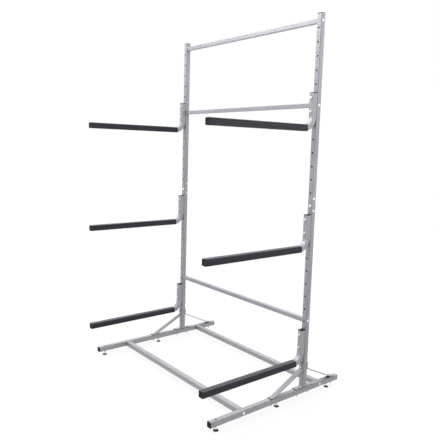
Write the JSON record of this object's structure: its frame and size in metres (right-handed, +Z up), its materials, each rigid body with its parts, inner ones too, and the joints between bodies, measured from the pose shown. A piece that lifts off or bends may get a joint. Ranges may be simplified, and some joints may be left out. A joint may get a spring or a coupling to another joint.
{
  "type": "boat storage rack",
  "caption": "Freestanding floor rack with two drilled uprights, an H-shaped base on levelling feet, crossbars, knee braces and bolted arms in foam sleeves that carry boats lying on their sides.",
  "frame": {"origin": "on the floor under the middle of the footprint, which runs from the arm ends to the rear caps", "axes": "+X to the right seen from the side that the arms reach towards, -Y the way the arms reach, +Z up"},
  "size_m": [1.3106, 1.084, 2.229],
  "materials": {
    "upright_paint": "satin silver-grey powder coat",
    "base_paint": "satin silver-grey powder coat",
    "crossbar_paint": "satin silver-grey powder coat",
    "brace_paint": "satin silver-grey powder coat",
    "arm_paint": "satin silver-grey powder coat",
    "cap_plastic": "moulded, slightly glossy edges",
    "foam": "smooth closed-cell foam with a soft sheen",
    "pad_rubber": "moulded black",
    "zinc": "bright zinc plate",
    "inner_steel": "plain"
  },
  "bodies": {
    "rack": {"base_side_left": "base_paint", "base_side_right": "base_paint", "base_cross_front": "base_paint", "base_cross_rear": "base_paint", "base_end_caps": "cap_plastic", "upright_lower_left": "upright_paint", "upright_lower_right": "upright_paint", "upright_upper_left": "upright_paint", "upright_upper_right": "upright_paint", "splice_left": "inner_steel", "splice_right": "inner_steel", "upright_caps": "cap_plastic", "crossbar_top": "crossbar_paint", "crossbar_middle": "crossbar_paint", "crossbar_low": "crossbar_paint", "brace_front_left": "brace_paint", "brace_front_right": "brace_paint", "brace_rear_left": "brace_paint", "brace_rear_right": "brace_paint", "arm_low_left": "arm_paint", "arm_low_right": "arm_paint", "arm_middle_left": "arm_paint", "arm_middle_right": "arm_paint", "arm_top_left": "arm_paint", "arm_top_right": "arm_paint", "sleeve_low_left": "foam", "sleeve_low_right": "foam", "sleeve_middle_left": "foam", "sleeve_middle_right": "foam", "sleeve_top_left": "foam", "sleeve_top_right": "foam", "arm_heel_caps": "cap_plastic", "arm_end_plugs": "cap_plastic", "foot_inserts": "inner_steel", "arm_bolts": "zinc", "arm_washers": "zinc", "arm_nuts": "zinc", "splice_bolts": "zinc", "splice_nuts": "zinc", "crossbar_bolts": "zinc", "crossbar_plugs": "inner_steel", "base_cross_bolts": "zinc", "base_cross_plugs": "inner_steel", "brace_bolts": "zinc", "brace_nuts": "zinc", "plate_bolts": "zinc", "plate_nuts": "zinc"},
    "foot_front_left": {"foot_pad_front_left": "pad_rubber", "foot_stud_front_left": "zinc"},
    "foot_front_right": {"foot_pad_front_right": "pad_rubber", "foot_stud_front_right": "zinc"},
    "foot_middle_left": {"foot_pad_middle_left": "pad_rubber", "foot_stud_middle_left": "zinc"},
    "foot_middle_right": {"foot_pad_middle_right": "pad_rubber", "foot_stud_middle_right": "zinc"},
    "foot_rear_left": {"foot_pad_rear_left": "pad_rubber", "foot_stud_rear_left": "zinc"},
    "foot_rear_right": {"foot_pad_rear_right": "pad_rubber", "foot_stud_rear_right": "zinc"}
  },
  "joints": [
    {"name": "foot_front_left_height", "type": "slide", "parent": "rack", "child": "foot_front_left", "axis": [0, 0, -1], "range_m": [-0.01, 0.01]},
    {"name": "foot_front_right_height", "type": "slide", "parent": "rack", "child": "foot_front_right", "axis": [0, 0, -1], "range_m": [-0.01, 0.01]},
    {"name": "foot_middle_left_height", "type": "slide", "parent": "rack", "child": "foot_middle_left", "axis": [0, 0, -1], "range_m": [-0.01, 0.01]},
    {"name": "foot_middle_right_height", "type": "slide", "parent": "rack", "child": "foot_middle_right", "axis": [0, 0, -1], "range_m": [-0.01, 0.01]},
    {"name": "foot_rear_left_height", "type": "slide", "parent": "rack", "child": "foot_rear_left", "axis": [0, 0, -1], "range_m": [-0.01, 0.01]},
    {"name": "foot_rear_right_height", "type": "slide", "parent": "rack", "child": "foot_rear_right", "axis": [0, 0, -1], "range_m": [-0.01, 0.01]}
  ]
}
